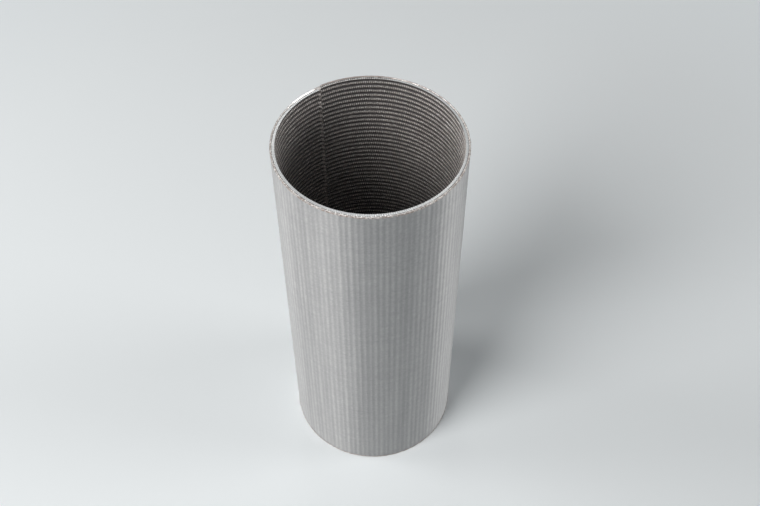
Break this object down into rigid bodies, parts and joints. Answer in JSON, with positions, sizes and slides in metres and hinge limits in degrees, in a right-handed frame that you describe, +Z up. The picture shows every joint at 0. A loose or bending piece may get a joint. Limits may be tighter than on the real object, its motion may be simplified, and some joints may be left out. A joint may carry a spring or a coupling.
{
  "type": "sintered metal filter tube",
  "caption": "Open-ended filter tube of bonded stainless wire cloth, coarse rings inside, fine mesh outside, closed by a lengthwise butt weld.",
  "frame": {"origin": "centre of the lower rim, on the surface the tube stands on", "axes": "+Z up along the tube's axis; the weld lies at 124 degrees from +X towards +Y"},
  "size_m": [0.07, 0.07, 0.165],
  "materials": {
    "filter_weave": "satin fine wire cloth",
    "support_weave": "matt coarse wire cloth, warm grey from the furnace",
    "seam_weld": "dressed weld metal"
  },
  "bodies": {
    "root": {"filter_weave": "filter_weave", "support_weave": "support_weave", "seam_weld": "seam_weld"}
  },
  "joints": []
}
